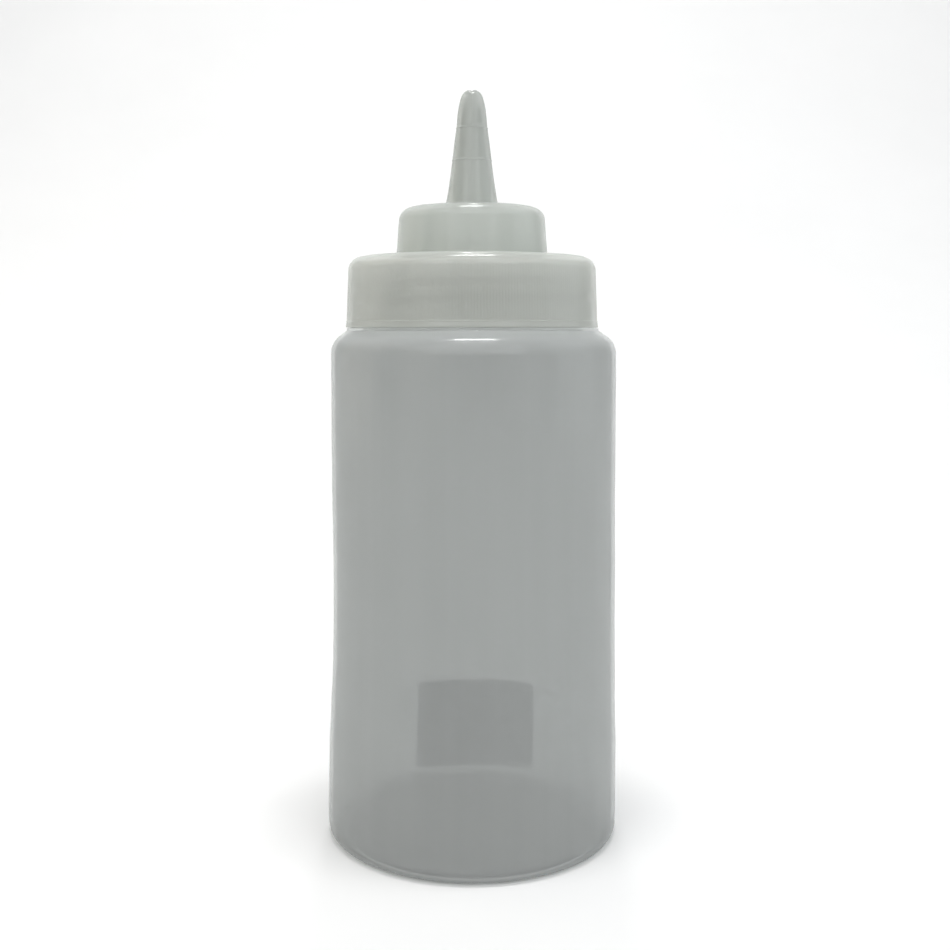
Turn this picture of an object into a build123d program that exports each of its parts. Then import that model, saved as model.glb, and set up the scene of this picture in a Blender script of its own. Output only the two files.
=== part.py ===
from build123d import *
import math
import os

# Wide-mouth condiment squeeze bottle: a blow-moulded soft bottle, a one-piece
# stepped screw cap with a tapered pouring nozzle, a flat sealing ring held
# under the cap's top plate, and a blank stock label on the rear of the bottle.
# Millimetres. Origin at the centre of the base, +Z up the bottle's axis,
# -Y is the front, +Y is the rear face that carries the label.

# ---------------------------------------------------------------- bottle body
BODY_R_LOW = 37.70        # straight lower band, the stretch a holder grips
BODY_BAND_Z = (7.5, 22.0)
BODY_R_TOP = 37.55        # straight band under the shoulder
BODY_TOP_Z = 124.55        # where the shoulder radius starts
TOP_BAND = 4.0
WAIST = [                 # gentle waist between the two bands (radius, z)
    (37.43, 31.0), (37.20, 41.5), (37.08, 53.0), (37.12, 65.0),
    (37.20, 79.0), (37.34, 93.0), (37.47, 107.0),
]
WALL = 1.0                # body wall
BASE_T = 1.3              # base thickness
BASE_CORNER = [           # soft, slightly squared base corner (radius, z)
    (34.70, 0.08), (35.80, 0.34), (36.58, 0.78), (37.16, 1.42), (37.47, 2.25),
    (37.58, 3.64), (37.67, 5.40),
]
STAND_OUT = 32.60         # outer radius of the flat standing ring
STAND_IN = 27.0           # inner radius of the flat standing ring
PUSH_UP = 2.6             # height of the concave base at its centre

SHOULDER_R = 5.77         # shoulder radius
SHOULDER_SLOPE = 37.0     # degrees of the cone above it
LAND_Z = 130.58           # where the cone meets the bead round the foot of the neck
BEAD_R = 33.25            # low bead that the cap's lip comes down to
BEAD_TOP_Z = 131.22       # 0.20 below the cap's lip
NECK_FOOT_R = 1.3         # radius where the bead's top runs into the neck

# ------------------------------------------------------------------ neck
NECK_R = 30.05            # neck wall outside
NECK_BORE_R = 28.40       # neck wall inside
RIM_Z = 146.95            # sealing rim

# ------------------------------------------------------------------ screw thread
PITCH = 25.4 / 6          # six threads to the inch, right hand
THREAD_TURNS = 1.30
THREAD_START = 225.0      # bearing of the thread's lower end
BOTTLE_CREST_R = 31.22    # 62.4 mm over the threads
BOTTLE_THREAD_Z = 139.40  # centre of the ridge at its lower end
CAP_CREST_R = 30.42
CAP_ROOT_R = 31.58        # inside of the cap skirt
CAP_THREAD_Z = BOTTLE_THREAD_Z - 0.5 * PITCH + 0.50   # drawn up under the bottle's ridge

# ------------------------------------------------------------------ cap
LIP_Z = 131.42            # bottom edge of the skirt
LIP_TOP_Z = 133.35        # where the lip's flare runs out
LIP_R = 33.30
SKIRT_R_LOW = 33.05
SKIRT_R_TOP = 32.62
TIER_Z = 149.90           # top of the lower tier
TIER_CORNER = 3.5
PLATE_T = 1.65
DRUM_R_LOW = 19.98
DRUM_R_TOP = 19.34
DRUM_Z = 163.05
DRUM_CORNER = 3.5
DRUM_WALL = 1.25
DRUM_FILLET = 0.60
RING_Z = (175.60, 184.20)  # two fine cut-to-size rings on the nozzle
RING_H = 0.10
RING_W = 0.45
TIP_Z = 194.20
ORIFICE_R = 1.00
ORIFICE_L = 2.20

# ------------------------------------------------------------------ sealing ring
SEAL_R = 31.20
SEAL_BORE_R = 27.60
SEAL_Z0 = RIM_Z + 0.05
SEAL_T = 1.20

# ------------------------------------------------------------------ label
LABEL_ARC_MM = 35.0
LABEL_Z0 = 2.3
LABEL_Z1 = 27.6
LABEL_SHIFT = 1.4         # degrees round from the rear centre, towards +X
LABEL_GAP = 0.02          # adhesive film
LABEL_T = 0.12


def edges_of(start, steps):
    """Joins straight runs, arcs through a middle point and splines, in XZ."""
    made, here = [], start
    for step in steps:
        kind = step[0]
        if kind == "L":
            end = step[1]
            made.append(Line((here[0], 0, here[1]), (end[0], 0, end[1])))
        elif kind == "A":
            mid, end = step[1], step[2]
            made.append(ThreePointArc((here[0], 0, here[1]), (mid[0], 0, mid[1]), (end[0], 0, end[1])))
        else:
            pts, t0, t1 = step[1], step[2], step[3]
            end = pts[-1]
            made.append(
                Spline(
                    *[(p[0], 0, p[1]) for p in [here, *pts]],
                    tangents=[(t0[0], 0, t0[1]), (t1[0], 0, t1[1])],
                )
            )
        here = end
    return made


def end_of(step):
    return step[1] if step[0] == "L" else (step[2] if step[0] == "A" else step[1][-1])


def turned(start, steps):
    """A solid of revolution about Z from a closed outline."""
    end = end_of(steps[-1])
    steps = list(steps)
    if abs(end[0] - start[0]) > 1e-9 or abs(end[1] - start[1]) > 1e-9:
        steps.append(("L", start))
    return revolve(Face(Wire(edges_of(start, steps))), Axis.Z, 360)


def arc_pt(cx, cz, r, deg):
    a = math.radians(deg)
    return (cx + r * math.cos(a), cz + r * math.sin(a))


def corner(cx, cz, r, a0, a1):
    """An arc step about (cx, cz) from angle a0 to a1."""
    return ("A", arc_pt(cx, cz, r, (a0 + a1) / 2), arc_pt(cx, cz, r, a1))


def ridge(root_r, crest_r, z_low, root_w, crest_w):
    """A right-hand helical thread ridge of trapezoid section, blunt at both ends."""
    path = Helix(pitch=PITCH, height=PITCH * THREAD_TURNS, radius=root_r, center=(0, 0, z_low))
    start, tangent = path @ 0, path % 0
    radial = Vector(start.X, start.Y, 0).normalized()
    plane = Plane(origin=start, x_dir=radial, z_dir=tangent)
    depth = crest_r - root_r
    outline = Polyline(
        (0, -root_w / 2), (depth, -crest_w / 2), (depth, crest_w / 2), (0, root_w / 2), close=True
    )
    made = sweep(plane * make_face(outline), path=path, is_frenet=True)
    return made.rotate(Axis.Z, THREAD_START)


# ------------------------------------------------------------------ the bottle
def side_steps(out):
    """The outside of the bottle from its standing ring to the shoulder, moved
    out by a radial amount, as a start point and steps."""
    low = [(r + out, z) for r, z in BASE_CORNER]
    mid = [(r + out, z) for r, z in WAIST]
    z0, z1 = BODY_BAND_Z
    return (STAND_OUT + out, 0.0), [
        ("S", [*low, (BODY_R_LOW + out, z0)], (1, 0), (0, 1)),
        ("L", (BODY_R_LOW + out, z1)),
        ("S", [*mid, (BODY_R_TOP + out, BODY_TOP_Z - TOP_BAND)], (0, 1), (0, 1)),
        ("L", (BODY_R_TOP + out, BODY_TOP_Z)),
    ]


SHOULDER_C = (BODY_R_TOP - SHOULDER_R, BODY_TOP_Z)
SHOULDER_PHI = 90.0 - SHOULDER_SLOPE
SLOPE_TAN = math.tan(math.radians(SHOULDER_SLOPE))


def bottle_outer():
    steps = side_steps(0.0)[1]
    cx, cz = SHOULDER_C
    steps.append(corner(cx, cz, SHOULDER_R, 0, SHOULDER_PHI))
    top = arc_pt(cx, cz, SHOULDER_R, SHOULDER_PHI)
    edge_r = top[0] - (LAND_Z - top[1]) / SLOPE_TAN
    print("cone meets the bead at radius", round(edge_r, 3))
    steps += [
        ("L", (edge_r + 0.10, LAND_Z - 0.10 * SLOPE_TAN)),
        ("A", (BEAD_R + 0.06, LAND_Z + 0.065), (BEAD_R, LAND_Z + 0.20)),
        ("L", (BEAD_R, BEAD_TOP_Z - 0.14)),
        corner(BEAD_R - 0.14, BEAD_TOP_Z - 0.14, 0.14, 0, 90),
        ("L", (NECK_R + NECK_FOOT_R, BEAD_TOP_Z)),
        ("A", (NECK_R + NECK_FOOT_R * (1 - math.sqrt(0.5)), BEAD_TOP_Z + NECK_FOOT_R * (1 - math.sqrt(0.5))), (NECK_R, BEAD_TOP_Z + NECK_FOOT_R)),
        ("L", (NECK_R, RIM_Z - 0.45)),
        corner(NECK_R - 0.45, RIM_Z - 0.45, 0.45, 0, 90),
        ("L", (NECK_BORE_R + 0.35, RIM_Z)),
        corner(NECK_BORE_R + 0.35, RIM_Z - 0.35, 0.35, 90, 180),
    ]
    return steps


def bottle_inner():
    """From the rim's inner edge down to the centre of the base."""
    cx, cz = SHOULDER_C
    r = SHOULDER_R - WALL
    top = arc_pt(cx, cz, r, SHOULDER_PHI)
    # a level step under the bead, 0.92 thick, then a sweep up into the bore
    step_z = BEAD_TOP_Z - 0.92
    step_r = top[0] - (step_z - top[1]) / SLOPE_TAN
    sweep = 1.6
    z0, z1 = BODY_BAND_Z
    inner_band = BODY_R_LOW - WALL
    waist = [(p[0] - WALL, p[1]) for p in WAIST]
    return [
        ("L", (NECK_BORE_R, step_z + sweep)),
        ("A", (NECK_BORE_R + sweep * (1 - math.sqrt(0.5)), step_z + sweep * (1 - math.sqrt(0.5))), (NECK_BORE_R + sweep, step_z)),
        ("L", (step_r, step_z)),
        ("L", top),
        corner(cx, cz, r, SHOULDER_PHI, 0),
        ("L", (BODY_R_TOP - WALL, BODY_TOP_Z - TOP_BAND)),
        ("S", [*reversed(waist), (inner_band, z1)], (0, -1), (0, -1)),
        ("L", (inner_band, z0)),
        ("S", [(36.62, 5.3), (36.30, 3.55), (35.55, 2.35), (34.30, 1.62), (STAND_OUT - 0.4, BASE_T)], (0, -1), (-1, 0)),
        ("L", (STAND_IN, BASE_T)),
        ("S", [(20.0, BASE_T + 1.35), (10.0, BASE_T + 2.32), (0.0, BASE_T + PUSH_UP)], (-1, 0), (-1, 0)),
    ]


under = [
    ("S", [(10.0, PUSH_UP - 0.28), (20.0, PUSH_UP - 1.25), (STAND_IN, 0.0)], (1, 0), (1, 0)),
    ("L", (STAND_OUT, 0.0)),
]
bottle_body = turned(
    (0.0, PUSH_UP),
    [*under, *bottle_outer(), *bottle_inner(), ("L", (0.0, PUSH_UP))],
)
bottle_thread = ridge(NECK_R - 0.25, BOTTLE_CREST_R, BOTTLE_THREAD_Z, 2.5, 1.1)
bottle = bottle_body + bottle_thread


# ------------------------------------------------------------------ the cap
def cap_outer():
    c = SKIRT_R_TOP - TIER_CORNER
    d = DRUM_R_TOP - DRUM_CORNER
    w, h = RING_W / 2, RING_H
    z1, z2 = RING_Z
    f = DRUM_FILLET
    return [
        ("L", (LIP_R - 0.25, LIP_Z)),
        ("A", (LIP_R - 0.075, LIP_Z + 0.075), (LIP_R, LIP_Z + 0.25)),
        ("L", (SKIRT_R_LOW, LIP_TOP_Z)),
        ("L", (SKIRT_R_TOP, TIER_Z - TIER_CORNER)),
        corner(c, TIER_Z - TIER_CORNER, TIER_CORNER, 0, 90),
        ("L", (DRUM_R_LOW + f, TIER_Z)),
        ("A", (DRUM_R_LOW + f * (1 - math.sqrt(0.5)), TIER_Z + f * (1 - math.sqrt(0.5))), (DRUM_R_LOW, TIER_Z + f)),
        ("L", (DRUM_R_TOP, DRUM_Z - DRUM_CORNER)),
        corner(d, DRUM_Z - DRUM_CORNER, DRUM_CORNER, 0, 90),
        ("L", (8.30, DRUM_Z)),
        ("A", (7.30, DRUM_Z + 0.40), (6.88, DRUM_Z + 1.40)),
        ("L", (6.26, 167.9)),
        ("L", (5.87, 170.5)),
        ("L", (5.23, z1 - w)),
        ("L", (5.20 + h, z1)),
        ("L", (5.17, z1 + w)),
        ("L", (4.15, z2 - w)),
        ("L", (4.12 + h, z2)),
        ("L", (4.09, z2 + w)),
        ("L", (3.85, 187.5)),
        ("S", [(3.72, 188.6), (3.56, 189.6), (3.35, 190.7), (3.09, 191.7), (2.72, 192.8), (2.06, 193.72), (1.30, TIP_Z)], (-0.11, 1), (-1, 0.12)),
        ("L", (ORIFICE_R, TIP_Z - 0.12)),
    ]


def cap_inner():
    """From the orifice down the nozzle, under the drum and out to the skirt."""
    di = DRUM_R_TOP - DRUM_WALL
    dl = DRUM_R_LOW - DRUM_WALL
    seat = TIER_Z - PLATE_T
    bead_z = SEAL_Z0 - 0.12
    return [
        ("L", (ORIFICE_R, TIP_Z - ORIFICE_L)),
        ("L", (2.30, 190.1)),
        ("L", (3.05, 184.5)),
        ("L", (5.15, 168.2)),
        ("L", (5.62, DRUM_Z - 0.6)),
        ("A", (5.90, DRUM_Z - 1.13), (6.45, DRUM_Z - 1.35)),
        ("L", (di - 1.6, DRUM_Z - 1.35)),
        corner(di - 1.6, DRUM_Z - 2.95, 1.6, 90, 0),
        ("L", (dl, seat + 0.5)),
        ("L", (dl + 0.5, seat)),
        ("L", (CAP_ROOT_R - 0.25, seat)),
        ("L", (CAP_ROOT_R, seat - 0.25)),
        ("L", (CAP_ROOT_R, bead_z)),
        ("L", (CAP_ROOT_R - 0.58, bead_z - 0.35)),
        ("L", (CAP_ROOT_R, bead_z - 0.85)),
        ("L", (CAP_ROOT_R, LIP_Z + 0.5)),
        ("L", (CAP_ROOT_R + 0.35, LIP_Z)),
    ]


cap_body = turned((CAP_ROOT_R + 0.35, LIP_Z), [*cap_outer(), *cap_inner()])
cap_thread = ridge(CAP_ROOT_R + 0.25, CAP_CREST_R, CAP_THREAD_Z, 2.3, 1.0)
cap = cap_body + cap_thread

# ------------------------------------------------------------------ the sealing ring
e = 0.15
seal_ring = turned(
    (SEAL_BORE_R, SEAL_Z0 + e),
    [
        ("L", (SEAL_BORE_R + e, SEAL_Z0)),
        ("L", (SEAL_R - e, SEAL_Z0)),
        ("L", (SEAL_R, SEAL_Z0 + e)),
        ("L", (SEAL_R, SEAL_Z0 + SEAL_T - e)),
        ("L", (SEAL_R - e, SEAL_Z0 + SEAL_T)),
        ("L", (SEAL_BORE_R + e, SEAL_Z0 + SEAL_T)),
        ("L", (SEAL_BORE_R, SEAL_Z0 + SEAL_T - e)),
    ],
)


# ------------------------------------------------------------------ the rear label
def side_shell(r_in, r_out, sweep_deg):
    """A thin sector of the bottle's own side, between two radial offsets."""
    s0, in_steps = side_steps(r_in)
    s1, out_steps = side_steps(r_out)
    e0, e1 = end_of(in_steps[-1]), end_of(out_steps[-1])
    wire = Wire(
        [
            *edges_of(s0, in_steps),
            *edges_of(s1, out_steps),
            Line((s0[0], 0, s0[1]), (s1[0], 0, s1[1])),
            Line((e0[0], 0, e0[1]), (e1[0], 0, e1[1])),
        ]
    )
    face = Face(wire).rotate(Axis.Z, 90 - LABEL_SHIFT - sweep_deg / 2)
    return revolve(face, Axis.Z, sweep_deg)


label_sweep = math.degrees(LABEL_ARC_MM / BODY_R_LOW)
keep = Pos(0, 40, (LABEL_Z0 + LABEL_Z1) / 2) * Box(90, 60, LABEL_Z1 - LABEL_Z0)
rear_label = side_shell(LABEL_GAP, LABEL_GAP + LABEL_T, label_sweep) & keep

# ------------------------------------------------------------------ write
os.makedirs("parts", exist_ok=True)
made = {"bottle": bottle, "cap": cap, "seal_ring": seal_ring, "rear_label": rear_label}
for name, shape in made.items():
    solids = shape.solids()
    print(name, "solids", len(solids), "volume", round(sum(s.volume for s in solids), 1), "valid", all(s.is_valid for s in solids))
    export_step(solids[0] if len(solids) == 1 else Compound(children=list(solids)), f"parts/{name}.step")

inside = math.pi * (BODY_R_TOP - WALL - 0.3) ** 2 * (BODY_TOP_Z - BASE_T - 1.5) + math.pi * NECK_BORE_R**2 * (RIM_Z - BODY_TOP_Z)
print("brimful capacity about", round(inside / 1000), "ml")
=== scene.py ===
import math

import bpy
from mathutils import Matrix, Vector, noise


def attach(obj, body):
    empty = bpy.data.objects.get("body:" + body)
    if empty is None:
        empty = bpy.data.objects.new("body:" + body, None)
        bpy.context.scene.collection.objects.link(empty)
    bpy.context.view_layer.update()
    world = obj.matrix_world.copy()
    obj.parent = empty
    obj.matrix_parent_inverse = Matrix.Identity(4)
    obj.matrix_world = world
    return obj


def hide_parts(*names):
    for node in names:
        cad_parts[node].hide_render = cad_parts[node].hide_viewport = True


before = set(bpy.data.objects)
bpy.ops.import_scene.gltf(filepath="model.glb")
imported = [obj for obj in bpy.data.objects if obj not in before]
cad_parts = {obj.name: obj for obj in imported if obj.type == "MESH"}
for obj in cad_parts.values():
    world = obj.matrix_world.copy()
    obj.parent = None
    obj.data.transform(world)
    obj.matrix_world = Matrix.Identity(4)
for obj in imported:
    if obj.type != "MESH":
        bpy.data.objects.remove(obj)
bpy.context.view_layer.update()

MM = 0.001
PI = math.pi
TAU = 2 * math.pi

# ---------------------------------------------------------------- sizes, mm, as in the CAD
BODY_R_LOW, BODY_R_TOP, BODY_TOP_Z, TOP_BAND = 37.70, 37.55, 124.55, 4.0
BODY_BAND_Z = (7.5, 22.0)
WAIST = [(37.43, 31.0), (37.20, 41.5), (37.08, 53.0), (37.12, 65.0), (37.20, 79.0), (37.34, 93.0), (37.47, 107.0)]
BASE_CORNER = [(34.70, 0.08), (35.80, 0.34), (36.58, 0.78), (37.16, 1.42), (37.47, 2.25), (37.58, 3.64), (37.67, 5.40)]
STAND_OUT, STAND_IN, PUSH_UP, WALL, BASE_T = 32.60, 27.0, 2.6, 1.0, 1.3
SHOULDER_R, SHOULDER_SLOPE, LAND_Z, BEAD_R, BEAD_TOP_Z, NECK_FOOT_R = 5.77, 37.0, 130.58, 33.25, 131.36, 1.3
NECK_R, NECK_BORE_R, RIM_Z = 30.05, 28.40, 146.95
PITCH, THREAD_TURNS, THREAD_START = 25.4 / 6, 1.30, 225.0
BOTTLE_CREST_R, BOTTLE_THREAD_Z = 31.22, 139.40
CAP_CREST_R, CAP_ROOT_R, CAP_THREAD_Z = 30.42, 31.58, 139.40 - 0.5 * 25.4 / 6 + 0.5
LIP_Z, LIP_TOP_Z, LIP_R = 131.42, 133.35, 33.30
SKIRT_R_LOW, SKIRT_R_TOP, TIER_Z, TIER_CORNER, PLATE_T = 33.05, 32.62, 149.90, 3.5, 1.65
DRUM_R_LOW, DRUM_R_TOP, DRUM_Z, DRUM_CORNER, DRUM_WALL, DRUM_FILLET = 19.98, 19.34, 163.05, 3.5, 1.25, 0.60
RING_Z, TIP_Z, ORIFICE_R, ORIFICE_L = (175.60, 184.20), 194.20, 1.00, 2.20
SEAL_R, SEAL_BORE_R, SEAL_Z0, SEAL_T = 31.20, 27.60, RIM_Z + 0.05, 1.20
LABEL_ARC_MM, LABEL_Z, LABEL_SHIFT, LABEL_GAP, LABEL_T = 35.0, (2.3, 27.6), 1.4, 0.02, 0.12
SERRATIONS = 272


# ---------------------------------------------------------------- outlines
def smooth_through(pts, per, t0=None, t1=None):
    """Points on a Hermite curve through pts, with chord-based tangents."""
    n = len(pts)
    tan = []
    for i in range(n):
        if i == 0:
            d = (pts[1][0] - pts[0][0], pts[1][1] - pts[0][1])
            if t0:
                m = math.hypot(*d)
                d = (t0[0] * m, t0[1] * m)
            tan.append((d, d))
        elif i == n - 1:
            d = (pts[-1][0] - pts[-2][0], pts[-1][1] - pts[-2][1])
            if t1:
                m = math.hypot(*d)
                d = (t1[0] * m, t1[1] * m)
            tan.append((d, d))
        else:
            a = (pts[i][0] - pts[i - 1][0], pts[i][1] - pts[i - 1][1])
            b = (pts[i + 1][0] - pts[i][0], pts[i + 1][1] - pts[i][1])
            la, lb = math.hypot(*a), math.hypot(*b)
            u = ((a[0] / la * lb + b[0] / lb * la) / (la + lb), (a[1] / la * lb + b[1] / lb * la) / (la + lb))
            tan.append(((u[0] * la, u[1] * la), (u[0] * lb, u[1] * lb)))
    out = []
    for i in range(n - 1):
        p, q = pts[i], pts[i + 1]
        m0, m1 = tan[i][1], tan[i + 1][0]
        k = per[i] if isinstance(per, (list, tuple)) else per
        for j in range(1, k + 1):
            t = j / k
            h00, h10 = 2 * t**3 - 3 * t**2 + 1, t**3 - 2 * t**2 + t
            h01, h11 = -2 * t**3 + 3 * t**2, t**3 - t**2
            out.append((h00 * p[0] + h10 * m0[0] + h01 * q[0] + h11 * m1[0], h00 * p[1] + h10 * m0[1] + h01 * q[1] + h11 * m1[1]))
    return out


class Outline:
    """A lathe outline: rings of (radius, z, segments, tag)."""

    def __init__(self, r, z, n, tag=""):
        self.n, self.tag = n, tag
        self.rings = [(r, z, n, tag)]

    def add(self, r, z):
        self.rings.append((r, z, self.n, self.tag))

    def line(self, r, z, k=1):
        r0, z0 = self.rings[-1][:2]
        for j in range(1, k + 1):
            self.add(r0 + (r - r0) * j / k, z0 + (z - z0) * j / k)

    def arc(self, cx, cz, rad, a0, a1, k):
        for j in range(0, k + 1):
            a = math.radians(a0 + (a1 - a0) * j / k)
            p = (cx + rad * math.cos(a), cz + rad * math.sin(a))
            if math.hypot(p[0] - self.rings[-1][0], p[1] - self.rings[-1][1]) > 1e-6:
                self.add(*p)

    def curve(self, pts, per, t0=None, t1=None):
        for p in smooth_through([self.rings[-1][:2], *pts], per, t0, t1):
            self.add(*p)

    def use(self, n=None, tag=None):
        if n is not None:
            self.n = n
        if tag is not None:
            self.tag = tag


def lathe(name, rings, place, closed):
    """A mesh from rings. A ring of radius 0 is one point. place(tag, r, z, a) gives
    a vertex in mm. Rings may differ in segments by a whole factor."""
    verts, faces, starts = [], [], []
    for r, z, n, tag in rings:
        starts.append(len(verts))
        if r < 1e-9:
            verts.append(place(tag, 0.0, z, 0.0))
            continue
        for i in range(n):
            verts.append(place(tag, r, z, TAU * i / n))
    pairs = list(zip(range(len(rings) - 1), range(1, len(rings))))
    if closed:
        pairs.append((len(rings) - 1, 0))
    for a, b in pairs:
        ra, rb, na, nb = rings[a][0], rings[b][0], rings[a][2], rings[b][2]
        sa, sb = starts[a], starts[b]
        if ra < 1e-9:
            faces += [(sa, sb + (i + 1) % nb, sb + i) for i in range(nb)]
        elif rb < 1e-9:
            faces += [(sb, sa + i, sa + (i + 1) % na) for i in range(na)]
        elif na == nb:
            faces += [(sa + i, sa + (i + 1) % na, sb + (i + 1) % nb, sb + i) for i in range(na)]
        else:
            flip = na > nb
            sc, nc, sf, nf = (sb, nb, sa, na) if flip else (sa, na, sb, nb)
            k = nf // nc
            for i in range(nc):
                c0, c1 = sc + i, sc + (i + 1) % nc
                f = [sf + (i * k + j) % nf for j in range(k + 1)]
                half = k // 2
                tris = [(c0, f[j + 1], f[j]) for j in range(half)]
                tris.append((c0, c1, f[half]))
                tris += [(c1, f[j + 1], f[j]) for j in range(half, k)]
                faces += [t[::-1] for t in tris] if flip else tris
    mesh = bpy.data.meshes.new(name)
    mesh.from_pydata([(x * MM, y * MM, z * MM) for x, y, z in verts], [], faces)
    mesh.validate()
    mesh.shade_smooth()
    mesh.update()
    obj = bpy.data.objects.new(name, mesh)
    bpy.context.scene.collection.objects.link(obj)
    return obj


def ease(t):
    t = min(1.0, max(0.0, t))
    return t * t * (3 - 2 * t)


def thread_height(a, z, z_low, depth, root_w, crest_w):
    """How far a thread's ridge stands out at bearing a and height z, 0 to depth."""
    best = 0.0
    deg = math.degrees(a)
    for turn in range(-1, 4):
        along = deg - THREAD_START + 360 * turn
        if along < -12 or along > 360 * THREAD_TURNS + 12:
            continue
        zc = z_low + PITCH * along / 360
        off = abs(z - zc)
        if off > root_w / 2:
            continue
        side = (root_w - crest_w) / 2
        h = 1.0 if off < crest_w / 2 else ease((root_w / 2 - off) / side)
        ends = min(ease((along + 12) / 24), ease((360 * THREAD_TURNS + 12 - along) / 24))
        best = max(best, depth * h * ends)
    return best


def cyl(r, z, a):
    return (r * math.cos(a), r * math.sin(a), z)


def bump_line(x, width):
    return math.exp(-((x / width) ** 2))


# ---------------------------------------------------------------- the bottle
def outline_bottle():
    N = 288
    o = Outline(0.0, PUSH_UP, N, "base")
    o.curve([(2.0, PUSH_UP - 0.01), (6.0, PUSH_UP - 0.11), (12.0, PUSH_UP - 0.43), (20.0, PUSH_UP - 1.25), (24.5, 0.58), (STAND_IN, 0.0)], [2, 4, 6, 8, 6, 5], (1, 0), (1, 0))
    o.line(STAND_OUT, 0.0, 4)
    o.use(tag="side")
    o.curve([*BASE_CORNER, (BODY_R_LOW, BODY_BAND_Z[0])], [3, 3, 3, 3, 3, 3, 3, 3], (1, 0), (0, 1))
    o.line(BODY_R_LOW, BODY_BAND_Z[1], 8)
    o.curve([*WAIST, (BODY_R_TOP, BODY_TOP_Z - TOP_BAND)], 6, (0, 1), (0, 1))
    o.line(BODY_R_TOP, BODY_TOP_Z, 3)
    phi = 90 - SHOULDER_SLOPE
    cx = BODY_R_TOP - SHOULDER_R
    o.arc(cx, BODY_TOP_Z, SHOULDER_R, 0, phi, 22)
    r0, z0 = o.rings[-1][:2]
    slope = math.tan(math.radians(SHOULDER_SLOPE))
    end = (r0 - (LAND_Z - z0) / slope, LAND_Z)
    o.line(end[0] + 0.20, end[1] - 0.20 * slope, 6)
    o.curve([(BEAD_R + 0.06, LAND_Z + 0.065), (BEAD_R, LAND_Z + 0.20)], [3, 3], (-0.81, 0.59), (0, 1))
    o.line(BEAD_R, BEAD_TOP_Z - 0.14, 2)
    o.arc(BEAD_R - 0.14, BEAD_TOP_Z - 0.14, 0.14, 0, 90, 5)
    o.line(NECK_R + 2.2, BEAD_TOP_Z, 3)
    o.use(tag="neck")
    o.line(NECK_R + NECK_FOOT_R, BEAD_TOP_Z, 2)
    o.arc(NECK_R + NECK_FOOT_R, BEAD_TOP_Z + NECK_FOOT_R, NECK_FOOT_R, 270, 180, 9)
    o.use(tag="thread")
    o.line(NECK_R, 137.4, 8)
    o.line(NECK_R, RIM_Z - 0.55, 62)
    o.line(NECK_R, RIM_Z - 0.45, 2)
    o.use(tag="neck")
    o.arc(NECK_R - 0.45, RIM_Z - 0.45, 0.45, 0, 90, 6)
    o.line(NECK_BORE_R + 0.35, RIM_Z, 2)
    o.arc(NECK_BORE_R + 0.35, RIM_Z - 0.35, 0.35, 90, 180, 5)
    o.use(tag="inside")
    ri = SHOULDER_R - WALL
    a = math.radians(phi)
    top = (cx + ri * math.cos(a), BODY_TOP_Z + ri * math.sin(a))
    step_z, sweep = BEAD_TOP_Z - 0.92, 1.6
    o.line(NECK_BORE_R, step_z + sweep, 10)
    o.arc(NECK_BORE_R + sweep, step_z + sweep, sweep, 180, 270, 9)
    o.line(top[0] - (step_z - top[1]) / slope, step_z, 4)
    o.line(top[0], top[1], 4)
    o.arc(cx, BODY_TOP_Z, ri, phi, 0, 14)
    o.line(BODY_R_TOP - WALL, BODY_TOP_Z - TOP_BAND, 2)
    o.curve([*[(r - WALL, z) for r, z in reversed(WAIST)], (BODY_R_LOW - WALL, BODY_BAND_Z[1])], 5, (0, -1), (0, -1))
    o.line(BODY_R_LOW - WALL, BODY_BAND_Z[0], 5)
    o.curve([(36.62, 5.3), (36.30, 3.55), (35.55, 2.35), (34.30, 1.62), (STAND_OUT - 0.4, BASE_T)], 3, (0, -1), (-1, 0))
    o.line(STAND_IN, BASE_T, 2)
    o.curve([(24.5, BASE_T + 0.58), (20.0, BASE_T + 1.35), (12.0, BASE_T + 2.17), (6.0, BASE_T + 2.49), (0.0, BASE_T + PUSH_UP)], 4, (-1, 0), (-1, 0))
    o.rings[-1] = (0.0, *o.rings[-1][1:])
    return o.rings


def bow(z):
    """How far the blown body leans off its axis towards +X at height z, mm."""
    pts = [(0, 0.0), (8, 0.0), (14, 0.10), (23, 0.21), (33, 0.31), (42, 0.48), (52, 0.53), (61, 0.59), (70, 0.64), (79, 0.55), (88, 0.44), (107, 0.42), (116, 0.46), (125.5, 0.42), (131.0, 0.21), (140, 0.21)]
    for (z0, d0), (z1, d1) in zip(pts, pts[1:]):
        if z <= z1:
            return d0 + (d1 - d0) * ease((z - z0) / (z1 - z0))
    return 0.0


def place_bottle(tag, r, z, a):
    x, y, zz = place_round(tag, r, z, a)
    if tag == "side" or (tag == "inside" and z < 130):
        # the neck stays true, so the lean fades out across the land
        return (x + bow(z) * ease((r - NECK_R) / 2.6) if z > 126 else x + bow(z), y, zz)
    return (x, y, zz)


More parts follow.
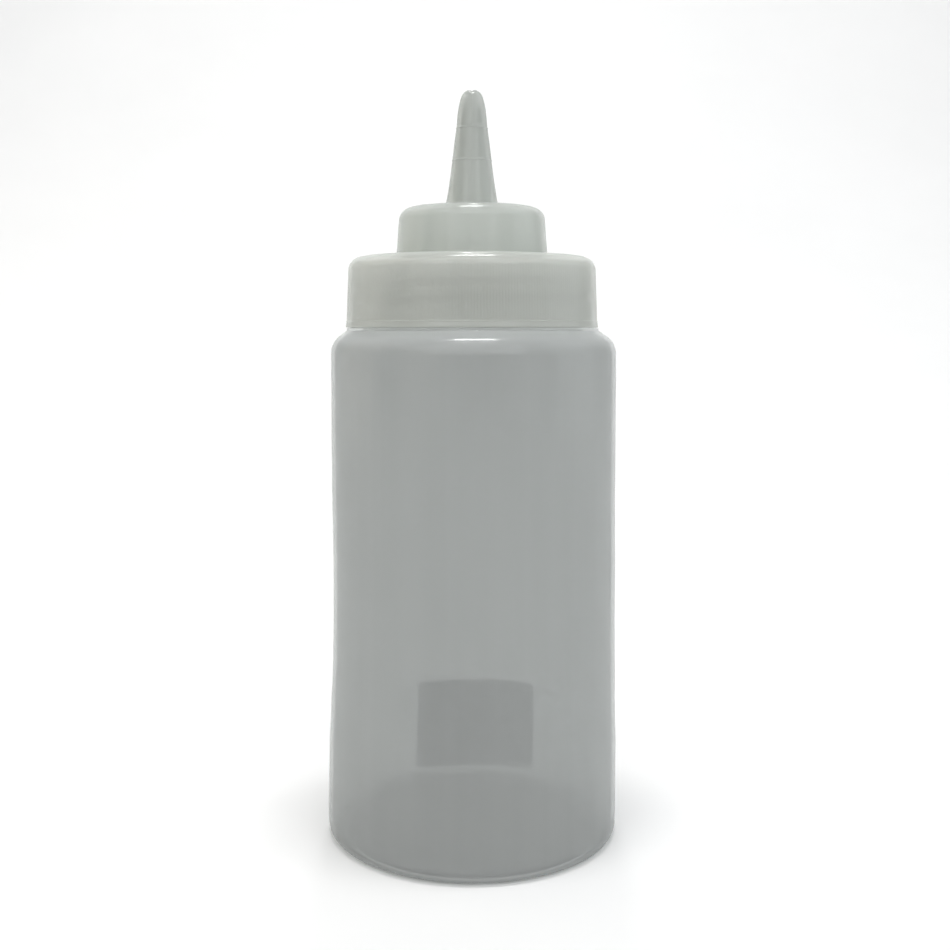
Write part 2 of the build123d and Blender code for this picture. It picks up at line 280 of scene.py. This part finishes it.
def place_round(tag, r, z, a):
    c, s = math.cos(a), math.sin(a)
    # the base corner is a little squarer towards the front right
    lobe = 0.42 * max(0.0, math.cos(a + math.radians(30)))
    if tag == "side" and z < 1.6:
        r += lobe * ease((1.6 - z) / 1.5)
    if tag == "base" and r > 28:
        r += lobe * ease((r - 28.0) / (STAND_OUT - 28.0))
    if tag == "side":
        # parting line down both sides, and the slight unevenness of a blown wall
        seam = 0.045 * bump_line(s * r, 0.22) * ease((z - 1.0) / 3.0) * ease((129.0 - z) / 3.0)
        fade = ease((z - 3.0) / 12.0) * ease((122.0 - z) / 12.0)
        uneven = 0.09 * noise.noise(Vector((c * 1.1, s * 1.1, z / 34.0))) * fade
        flat = 0.05 * math.cos(2 * a) * fade
        return cyl(r + seam + uneven - flat, z, a)
    if tag == "base":
        # pinch-off weld across the pushed-up base, along the parting plane
        y, x = s * r, c * r
        weld = 0.28 * bump_line(y, 0.55) * ease((17.5 - abs(x)) / 4.0)
        ring = 0.10 * bump_line(r - 13.2, 0.45)
        return (x, y, z - weld - ring)
    if tag == "thread":
        h = thread_height(a, z, BOTTLE_THREAD_Z, BOTTLE_CREST_R - NECK_R, 2.5, 1.1)
        # the parting line leaves a small break in the thread on each side
        h *= 1.0 - 0.35 * bump_line(s * r, 0.9)
        return cyl(r + h, z, a)
    if tag == "inside":
        fade = ease((z - 6.0) / 12.0) * ease((122.0 - z) / 12.0)
        return cyl(r + 0.05 * noise.noise(Vector((c * 1.7, s * 1.7, z / 21.0 + 7.0))) * fade if r > 1e-6 else 0.0, z, a)
    return cyl(r, z, a)


bottle = lathe("bottle_shell", outline_bottle(), place_bottle, closed=False)


# ---------------------------------------------------------------- the cap
def outline_cap():
    fine, mid, low = SERRATIONS * 4, SERRATIONS, SERRATIONS // 2
    o = Outline(CAP_ROOT_R + 0.35, LIP_Z, mid, "plain")
    o.line(LIP_R - 0.25, LIP_Z, 3)
    o.arc(LIP_R - 0.25, LIP_Z + 0.25, 0.25, 270, 360, 5)
    o.line(33.27, 132.00, 2)
    o.line(33.14, 132.72, 4)
    # fine raised line where the lip's flare runs out
    o.curve([(33.13, 132.84), (33.17, 132.95), (33.16, 133.06), (33.07, 133.18), (33.045, 133.32)], [2, 2, 2, 2, 2])
    o.use(fine, "serrated")
    o.line(33.035, 133.55)
    o.line(33.03, 133.80)
    o.line(33.01, 134.6, 2)
    o.line(SKIRT_R_TOP + 0.06, 144.6, 12)
    o.line(SKIRT_R_TOP + 0.01, TIER_Z - TIER_CORNER, 4)
    c = SKIRT_R_TOP - TIER_CORNER
    o.arc(c, TIER_Z - TIER_CORNER, TIER_CORNER, 2, 16, 3)
    o.use(mid, "plain")
    o.arc(c, TIER_Z - TIER_CORNER, TIER_CORNER, 20, 90, 16)
    f = DRUM_FILLET
    o.line(DRUM_R_LOW + f, TIER_Z, 6)
    o.arc(DRUM_R_LOW + f, TIER_Z + f, f, 270, 180, 6)
    o.line(DRUM_R_TOP, DRUM_Z - DRUM_CORNER, 8)
    d = DRUM_R_TOP - DRUM_CORNER
    o.arc(d, DRUM_Z - DRUM_CORNER, DRUM_CORNER, 0, 90, 16)
    o.line(9.2, DRUM_Z, 5)
    o.use(low, "nozzle")
    o.curve([(8.30, DRUM_Z + 0.06), (7.42, DRUM_Z + 0.42), (6.94, DRUM_Z + 1.20), (6.70, 165.3), (6.26, 167.9)], [3, 4, 4, 3, 3], (-1, 0))
    z1, z2 = RING_Z
    o.curve([(5.87, 170.5), (5.52, 173.2), (5.27, z1 - 0.55)], [3, 3, 3])
    o.line(5.23, z1 - 0.30)
    o.curve([(5.28, z1 - 0.10), (5.31, z1), (5.27, z1 + 0.10), (5.18, z1 + 0.30)], [2, 2, 2, 2])
    o.curve([(4.89, 178.5), (4.57, 181.1), (4.22, z2 - 0.55)], [4, 4, 4])
    o.line(4.18, z2 - 0.28)
    o.curve([(4.21, z2 - 0.10), (4.24, z2), (4.20, z2 + 0.10), (4.10, z2 + 0.28)], [2, 2, 2, 2])
    o.curve([(3.95, 186.4), (3.85, 187.5), (3.72, 188.6), (3.56, 189.6), (3.35, 190.7), (3.09, 191.7), (2.72, 192.8), (2.22, 193.55), (1.70, 193.98), (1.38, TIP_Z - 0.02)], [3, 2, 2, 2, 2, 2, 3, 3, 3, 3])
    o.use(tag="tip")
    o.curve([(1.20, TIP_Z), (1.04, TIP_Z - 0.10), (ORIFICE_R, TIP_Z - 0.32)], [2, 3, 2])
    o.line(ORIFICE_R, TIP_Z - ORIFICE_L, 3)
    o.use(tag="plain")
    o.line(1.20, 191.9, 1)
    o.line(2.20, 190.3, 2)
    o.line(2.30, 190.1, 1)
    o.line(3.05, 184.5, 4)
    o.line(5.15, 168.2, 10)
    o.curve([(5.62, DRUM_Z - 0.6), (5.90, DRUM_Z - 1.13), (6.45, DRUM_Z - 1.35)], [4, 3, 3])
    o.use(mid, "plain")
    di, dl = DRUM_R_TOP - DRUM_WALL, DRUM_R_LOW - DRUM_WALL
    o.line(di - 1.6, DRUM_Z - 1.35, 5)
    o.arc(di - 1.6, DRUM_Z - 2.95, 1.6, 90, 0, 8)
    seat = TIER_Z - PLATE_T
    o.line(dl, seat + 0.5, 5)
    o.arc(dl + 0.5, seat + 0.5, 0.5, 180, 270, 5)
    o.line(CAP_ROOT_R - 0.25, seat, 5)
    o.arc(CAP_ROOT_R - 0.25, seat - 0.25, 0.25, 90, 0, 4)
    bead = SEAL_Z0 - 0.12
    o.line(CAP_ROOT_R, bead, 2)
    o.curve([(CAP_ROOT_R - 0.45, bead - 0.22), (CAP_ROOT_R - 0.58, bead - 0.36), (CAP_ROOT_R - 0.45, bead - 0.52), (CAP_ROOT_R, bead - 0.85)], [2, 2, 2, 3])
    o.use(tag="thread")
    o.line(CAP_ROOT_R, 145.2, 2)
    o.line(CAP_ROOT_R, 134.6, 72)
    o.use(tag="plain")
    o.line(CAP_ROOT_R, LIP_Z + 0.5, 4)
    o.line(CAP_ROOT_R + 0.30, LIP_Z + 0.07, 2)
    return o.rings


def place_cap(tag, r, z, a):
    c, s = math.cos(a), math.sin(a)
    if tag == "serrated":
        fade = ease((z - 133.50) / 0.5) * ease((148.2 - z) / 2.6)
        return cyl(r - 0.013 * fade * (1 - math.cos(SERRATIONS * a)), z, a)
    if tag == "thread":
        h = thread_height(a, z, CAP_THREAD_Z, CAP_ROOT_R - CAP_CREST_R, 2.3, 1.0)
        return cyl(r - h, z, a)
    if tag == "nozzle":
        # the nozzle's two mould halves meet in a faint line front and rear
        seam = 0.035 * bump_line(c * r, 0.16) * ease((z - 164.0) / 3.0) * ease((193.2 - z) / 1.5)
        dip = 0.0
        if z > 193.2:
            dip = 0.30 * bump_line(c * r, 0.42) * ease((z - 193.2) / 0.7)
        return cyl(r + seam, z - dip, a)
    if tag == "tip":
        dip = 0.30 * bump_line(c * r, 0.42) * ease((z - 193.2) / 0.7)
        return cyl(r, z - dip, a)
    return cyl(r, z, a)


cap = lathe("cap_moulding", outline_cap(), place_cap, closed=True)


# ---------------------------------------------------------------- the seal
def outline_seal():
    o = Outline(SEAL_BORE_R + 0.28, SEAL_Z0, 256, "seal")
    z1 = SEAL_Z0 + SEAL_T
    o.line(28.15, SEAL_Z0, 1)
    # the rim has pressed a shallow groove into the underside
    o.curve([(28.40, SEAL_Z0 + 0.03), (28.75, SEAL_Z0 + 0.10), (29.25, SEAL_Z0 + 0.12), (29.75, SEAL_Z0 + 0.09), (30.10, SEAL_Z0 + 0.02), (30.35, SEAL_Z0)], 2)
    o.line(SEAL_R - 0.25, SEAL_Z0, 1)
    o.arc(SEAL_R - 0.25, SEAL_Z0 + 0.25, 0.25, 270, 360, 5)
    o.line(SEAL_R, z1 - 0.25, 2)
    o.arc(SEAL_R - 0.25, z1 - 0.25, 0.25, 0, 90, 5)
    o.line(29.6, z1, 2)
    o.curve([(29.4, z1 - 0.05), (29.2, z1)], 2)
    o.line(SEAL_BORE_R + 0.28, z1, 2)
    o.arc(SEAL_BORE_R + 0.28, z1 - 0.28, 0.28, 90, 180, 5)
    o.line(SEAL_BORE_R, SEAL_Z0 + 0.28, 2)
    o.arc(SEAL_BORE_R + 0.28, SEAL_Z0 + 0.28, 0.28, 180, 262, 4)
    return o.rings


seal = lathe("seal_ring_soft", outline_seal(), lambda tag, r, z, a: cyl(r, z, a), closed=True)


# ---------------------------------------------------------------- the rear label
SIDE = [(r, z) for r, z, n, tag in outline_bottle() if tag == "side" and z < 60]


def side_radius(z):
    for (r0, z0), (r1, z1) in zip(SIDE, SIDE[1:]):
        if z0 <= z <= z1:
            return r0 + (r1 - r0) * (z - z0) / max(z1 - z0, 1e-9)
    return SIDE[-1][0] if z > SIDE[-1][1] else SIDE[0][0]


def make_label():
    """A thin sticker with rounded corners, wrapped on the bottle's side."""
    half_w, (z0, z1), rad = LABEL_ARC_MM / 2, LABEL_Z, 1.6
    nu, nv = 64, 44
    mid_a = PI / 2 - math.radians(LABEL_SHIFT)
    verts, faces = [], []

    def spot(u, v, lift):
        # square grid pulled onto a rounded rectangle
        x, y = u * half_w, v * (z1 - z0) / 2
        ax, ay = half_w - rad, (z1 - z0) / 2 - rad
        if abs(x) > ax and abs(y) > ay:
            dx, dy = (abs(x) - ax) / rad, (abs(y) - ay) / rad
            k = max(dx, dy) / max(math.hypot(dx, dy), 1e-9)
            x = math.copysign(ax + dx * k * rad, x)
            y = math.copysign(ay + dy * k * rad, y)
        z = (z0 + z1) / 2 + y
        a = mid_a + x / BODY_R_LOW
        px, py, _ = place_round("side", side_radius(z), z, a)
        r = math.hypot(px, py)
        # one upper corner has let go a little
        curl = 0.35 * ease((u - 0.80) / 0.20) * ease((v - 0.72) / 0.28)
        wave = 0.012 * noise.noise(Vector((x / 5.0, y / 5.0, 3.0)))
        rr = r + LABEL_GAP + 0.015 + lift + curl + max(0.0, wave)
        return ((rr * math.cos(a) + bow(z)) * MM, rr * math.sin(a) * MM, z * MM)

    def warp(t):
        # closer grid lines at the edges, so that the corners are round
        return math.copysign(1 - (1 - abs(t)) ** 1.35, t)

    for lift in (0.0, LABEL_T - 0.02):
        for j in range(nv + 1):
            for i in range(nu + 1):
                verts.append(spot(warp(2 * i / nu - 1), warp(2 * j / nv - 1), lift))
    w, layer = nu + 1, (nu + 1) * (nv + 1)
    for j in range(nv):
        for i in range(nu):
            q = (j * w + i, j * w + i + 1, (j + 1) * w + i + 1, (j + 1) * w + i)
            faces.append(tuple(reversed(q)))
            faces.append(tuple(layer + k for k in q))
    edge = [i for i in range(nu)] + [j * w + nu for j in range(nv)] + [nv * w + i for i in range(nu, 0, -1)] + [j * w for j in range(nv, 0, -1)]
    for k, a in enumerate(edge):
        b = edge[(k + 1) % len(edge)]
        faces.append((a, b, layer + b, layer + a))
    mesh = bpy.data.meshes.new("rear_sticker")
    mesh.from_pydata(verts, [], faces)
    mesh.validate()
    # slot 0 is the back, glued to the wall; slot 1 is the face and the cut edge
    for k, poly in enumerate(mesh.polygons):
        poly.material_index = 1 if k % 2 or k >= 2 * nu * nv else 0
    mesh.shade_smooth()
    obj = bpy.data.objects.new("rear_sticker", mesh)
    bpy.context.scene.collection.objects.link(obj)
    return obj


label = make_label()


# ---------------------------------------------------------------- materials
class Mat:
    """A small helper round one material's node tree."""

    def __init__(self, name):
        self.mat = bpy.data.materials.new(name)
        self.mat.use_nodes = True
        self.nt = self.mat.node_tree
        self.nt.nodes.clear()
        self.out = self.nt.nodes.new("ShaderNodeOutputMaterial")
        self.coord = self.nt.nodes.new("ShaderNodeTexCoord")

    def node(self, kind, **vals):
        n = self.nt.nodes.new(kind)
        for k, v in vals.items():
            if hasattr(n, k):
                setattr(n, k, v)
        return n

    def link(self, a, b):
        self.nt.links.new(a, b)

    def mapped(self, scale):
        m = self.node("ShaderNodeMapping")
        m.inputs["Scale"].default_value = scale
        self.link(self.coord.outputs["Object"], m.inputs["Vector"])
        return m.outputs["Vector"]

    def noise(self, scale, detail=2.0, rough=0.5, stretch=(1, 1, 1)):
        n = self.node("ShaderNodeTexNoise")
        n.inputs["Scale"].default_value = scale
        n.inputs["Detail"].default_value = detail
        n.inputs["Roughness"].default_value = rough
        self.link(self.mapped(stretch), n.inputs["Vector"])
        return n.outputs["Fac"]

    def ramp(self, fac, stops):
        r = self.node("ShaderNodeValToRGB")
        while len(r.color_ramp.elements) < len(stops):
            r.color_ramp.elements.new(0.5)
        for e, (pos, col) in zip(r.color_ramp.elements, stops):
            e.position = pos
            e.color = (*col, 1.0) if len(col) == 3 else col
        self.link(fac, r.inputs["Fac"])
        return r.outputs["Color"]

    def span(self, fac, lo, hi, a=0.0, b=1.0):
        m = self.node("ShaderNodeMapRange")
        m.inputs["From Min"].default_value = a
        m.inputs["From Max"].default_value = b
        m.inputs["To Min"].default_value = lo
        m.inputs["To Max"].default_value = hi
        self.link(fac, m.inputs["Value"])
        return m.outputs["Result"]

    def multiply(self, a, b):
        m = self.node("ShaderNodeMix", data_type="RGBA", blend_type="MULTIPLY")
        m.inputs["Factor"].default_value = 1.0
        self.link(a, m.inputs["A"])
        self.link(b, m.inputs["B"])
        return m.outputs["Result"]

    def bump(self, height, strength, distance, normal=None):
        b = self.node("ShaderNodeBump")
        b.inputs["Strength"].default_value = strength
        b.inputs["Distance"].default_value = distance
        self.link(height, b.inputs["Height"])
        if normal is not None:
            self.link(normal, b.inputs["Normal"])
        return b.outputs["Normal"]


def grey(v, tint=(1, 1, 1)):
    return tuple(v * t for t in tint)


def frosted(name, base, tint, see, rough, glow, painted_light_and_tint_ramp):
    """Soft translucent polyethylene: a cloudy body that passes light, a satin face,
    fine die lines, and a share that is simply seen through."""
    m = Mat(name)
    p = m.node("ShaderNodeBsdfPrincipled")
    cloud = m.ramp(m.noise(38.0, 3.0, 0.55, (1, 1, 0.45)), [(0.20, grey(base * 0.985, tint)), (0.80, grey(base * 1.015, tint))])
    streak = m.ramp(m.noise(240.0, 2.0, 0.5, (1, 1, 0.02)), [(0.35, grey(0.985)), (0.65, grey(1.0))])
    col = m.multiply(cloud, streak)
    # painted light and shade by height: the base colour is scaled along Z by the ramp passed in, which stands in for
    # how the light falls at each height
    height_of_painted_light = m.node("ShaderNodeSeparateXYZ")
    m.link(m.coord.outputs["Object"], height_of_painted_light.inputs[0])
    col = m.multiply(col, m.ramp(m.span(height_of_painted_light.outputs["Z"], 0.0, 1.0, 0.0, 0.20), painted_light_and_tint_ramp))
    # a few dark specks in the resin
    speck = m.node("ShaderNodeTexVoronoi", feature="F1")
    speck.inputs["Scale"].default_value = 60.0
    m.link(m.mapped((1, 1, 1)), speck.inputs["Vector"])
    col = m.multiply(col, m.ramp(speck.outputs["Distance"], [(0.010, grey(0.50)), (0.018, grey(1.0))]))
    m.link(col, p.inputs["Base Color"])
    m.link(m.span(m.noise(60.0, 2.0, 0.5), rough - 0.01, rough + 0.01, 0.2, 0.8), p.inputs["Roughness"])
    fine = m.bump(m.noise(1500.0, 2.0, 0.5), 0.08, 0.00002)
    soft = m.bump(m.noise(45.0, 1.0, 0.5, (1, 1, 0.30)), 0.10, 0.00010, fine)
    m.link(soft, p.inputs["Normal"])
    p.inputs["IOR"].default_value = 1.51
    p.inputs["Specular IOR Level"].default_value = 1.0
    p.inputs["Subsurface Weight"].default_value = 1.0
    p.inputs["Subsurface Radius"].default_value = (1.0, 1.0, 1.0)
    p.inputs["Subsurface Scale"].default_value = 0.002
    t = m.node("ShaderNodeBsdfTranslucent")
    m.link(col, t.inputs["Color"])
    body = m.node("ShaderNodeMixShader")
    body.inputs[0].default_value = glow
    m.link(p.outputs["BSDF"], body.inputs[1])
    m.link(t.outputs["BSDF"], body.inputs[2])
    clear = m.node("ShaderNodeBsdfTransparent")
    clear.inputs["Color"].default_value = (*tint, 1.0)
    mix = m.node("ShaderNodeMixShader")
    mix.inputs[0].default_value = see
    m.link(body.outputs[0], mix.inputs[1])
    m.link(clear.outputs[0], mix.inputs[2])
    m.link(mix.outputs[0], m.out.inputs["Surface"])
    return m.mat


# painted light on the bottle: the shoulder's cone, land, bead and neck root (about 126 to 133 mm up) are painted much
# lighter, as if lit from above, which also paints the crevice under the cap lip out of its shade; the lowest 40 mm are
# painted a little lighter
BOTTLE_PAINTED_LIGHT = [(z / 0.20, grey(v)) for z, v in ((0.0, 1.03), (0.0160, 1.035), (0.0420, 1.01), (0.0600, 1.0), (0.1262, 1.0), (0.1285, 1.17), (0.1303, 1.30), (0.1308, 1.42), (0.1330, 1.48))]
SKIRT_TINT, DRUM_TINT = (1.004, 1.0, 0.982), (0.990, 1.0, 0.990)
# the skirt and drum tints, with painted light and shade by height: the top of the skirt and the tier's corner are
# painted lightest where light from above falls, the skirt's middle, the drum's top and the nozzle darker
CAP_TINT_AND_PAINTED_LIGHT = [(z / 0.20, grey(v, SKIRT_TINT if z < 0.1490 else DRUM_TINT)) for z, v in ((0.1318, 0.80), (0.1336, 0.78), (0.1390, 0.77), (0.1440, 0.83), (0.1485, 0.93), (0.1510, 0.87), (0.1600, 0.85), (0.1630, 0.79), (0.1680, 0.74), (0.1800, 0.67), (0.1940, 0.67))]
bottle_mat = frosted("bottle_ldpe", 0.505, (0.985, 1.0, 0.995), 0.46, 0.15, 0.36, BOTTLE_PAINTED_LIGHT)
cap_mat = frosted("cap_ldpe", 0.80, (0.980, 1.0, 0.975), 0.34, 0.18, 0.25, CAP_TINT_AND_PAINTED_LIGHT)


def seal_material():
    m = Mat("seal_soft")
    p = m.node("ShaderNodeBsdfPrincipled")
    m.link(m.ramp(m.noise(90.0, 3.0), [(0.3, grey(0.70, (1, 1, 0.98))), (0.7, grey(0.76, (1, 1, 0.98)))]), p.inputs["Base Color"])
    m.link(m.span(m.noise(200.0, 2.0), 0.48, 0.60, 0.3, 0.7), p.inputs["Roughness"])
    m.link(m.bump(m.noise(900.0, 2.0), 0.15, 0.00003), p.inputs["Normal"])
    p.inputs["Subsurface Weight"].default_value = 0.3
    p.inputs["Subsurface Scale"].default_value = 0.001
    m.link(p.outputs["BSDF"], m.out.inputs["Surface"])
    return m.mat


def label_material(name, low, high, tint):
    m = Mat(name)
    p = m.node("ShaderNodeBsdfPrincipled")
    fibre = m.noise(700.0, 4.0, 0.65, (1, 1, 0.5))
    m.link(m.ramp(fibre, [(0.3, grey(low, tint)), (0.7, grey(high, tint))]), p.inputs["Base Color"])
    m.link(m.span(m.noise(160.0, 2.0), 0.58, 0.72, 0.3, 0.7), p.inputs["Roughness"])
    m.link(m.bump(fibre, 0.25, 0.00004), p.inputs["Normal"])
    m.link(p.outputs["BSDF"], m.out.inputs["Surface"])
    return m.mat


for obj, mat, body, node, slot in (
    (bottle, bottle_mat, "bottle_body", "bottle", "bottle"),
    (cap, cap_mat, "cap_body", "cap", "cap"),
    (seal, seal_material(), "seal", "seal_ring", "seal"),
    (label, label_material("label_back", 0.565, 0.615, (0.88, 1.05, 1.14)), "bottle_body", "rear_label", "label"),
):
    obj.data.materials.append(mat)
    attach(obj, body)
    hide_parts(node)


label.data.materials.append(label_material("label_face", 0.66, 0.72, (0.985, 1.0, 1.0)))


# ---------------------------------------------------------------- floor and backdrop
def make_sweep():
    pts = [(-7.0, 0.0), (-5.0, 0.0), (-3.2, 0.0)]
    pts += [(-1.6 + 2.05 * j / 20, 0.0) for j in range(0, 21)]
    y0, rad = 0.45, 1.1
    pts += [(y0 + rad * math.sin(PI / 2 * j / 24), rad - rad * math.cos(PI / 2 * j / 24)) for j in range(1, 25)]
    pts += [(y0 + rad, rad + 2.0 * j / 6) for j in range(1, 7)]
    xs = [-7.0, -5.0, -3.5] + [-2.4 + 4.8 * i / 12 for i in range(13)] + [3.5, 5.0, 7.0]
    verts = [(x, y, z) for y, z in pts for x in xs]
    w = len(xs)
    faces = [(j * w + i, j * w + i + 1, (j + 1) * w + i + 1, (j + 1) * w + i) for j in range(len(pts) - 1) for i in range(w - 1)]
    mesh = bpy.data.meshes.new("floor_sweep")
    mesh.from_pydata(verts, [], faces)
    mesh.shade_smooth()
    obj = bpy.data.objects.new("floor_sweep", mesh)
    bpy.context.scene.collection.objects.link(obj)
    return obj


floor = make_sweep()
fm = Mat("pale_floor")
fp = fm.node("ShaderNodeBsdfPrincipled")
fm.link(fm.ramp(fm.noise(6.0, 3.0), [(0.3, grey(0.88)), (0.7, grey(0.90))]), fp.inputs["Base Color"])
fp.inputs["Roughness"].default_value = 0.9
fp.inputs["Specular IOR Level"].default_value = 0.1
fm.link(fp.outputs["BSDF"], fm.out.inputs["Surface"])
floor.data.materials.append(fm.mat)


# ---------------------------------------------------------------- light
def area(name, loc, target, size, size_y, watts, spread=180.0, tint=(1.0, 1.0, 1.0)):
    data = bpy.data.lights.new(name, "AREA")
    data.shape = "RECTANGLE"
    data.size, data.size_y = size, size_y
    data.energy = watts
    data.spread = math.radians(spread)
    data.color = tint
    obj = bpy.data.objects.new(name, data)
    obj.location = loc
    obj.rotation_euler = (Vector(target) - Vector(loc)).to_track_quat("-Z", "Y").to_euler()
    bpy.context.scene.collection.objects.link(obj)
    return obj


WARM, COOL = (1.0, 0.962, 0.87), (0.95, 0.985, 1.0)
area("side_left", (-1.15, 0.30, 0.55), (0, 0, 0.10), 1.1, 1.3, 3.9, tint=WARM)
area("side_right", (1.15, 0.0, 0.55), (0, 0, 0.10), 1.1, 1.3, 3.9, tint=COOL)
area("over_lamp", (0.02, -0.12, 2.05), (0, 0, 0.14), 0.68, 0.22, 17.0)
area("crown_lamp", (0.01, 0.90, 2.05), (0, 0, 0.14), 0.20, 0.22, 4.6)
area("window_lamp", (-1.36, -0.42, 1.53), (0, 0, 0.12), 0.34, 0.14, 0.9)
area("front_left", (-0.95, -1.0, 0.6), (0, 0, 0.10), 0.9, 1.2, 1.6, tint=WARM)
area("front_right", (0.95, -1.0, 0.6), (0, 0, 0.10), 0.9, 1.2, 1.5, tint=COOL)
area("front_wall", (0.0, -2.1, 1.7), (0, 0, 0.10), 4.2, 2.4, 37.0)
area("backdrop_lamp", (0.0, 0.55, 1.90), (0, 1.45, 0.55), 1.6, 0.5, 0.8, 110.0)

world = bpy.data.worlds.new("studio")
world.use_nodes = True
bg = world.node_tree.nodes["Background"]
bg.inputs["Color"].default_value = (0.965, 0.985, 1.0, 1.0)
bg.inputs["Strength"].default_value = 0.225
bpy.context.scene.world = world

# ---------------------------------------------------------------- camera
cam_data = bpy.data.cameras.new("camera")
cam_data.sensor_width = 36.0
cam_data.lens = 46.47
cam_data.shift_x = 0.0032
cam_data.shift_y = -0.1526
cam_data.clip_start = 0.01
cam = bpy.data.objects.new("camera", cam_data)
cam.location = (0.0, -0.3250, 0.1308)
cam.rotation_euler = (PI / 2, 0.0, 0.0)
bpy.context.scene.collection.objects.link(cam)
bpy.context.scene.camera = cam
bpy.context.scene.view_settings.view_transform = "Standard"
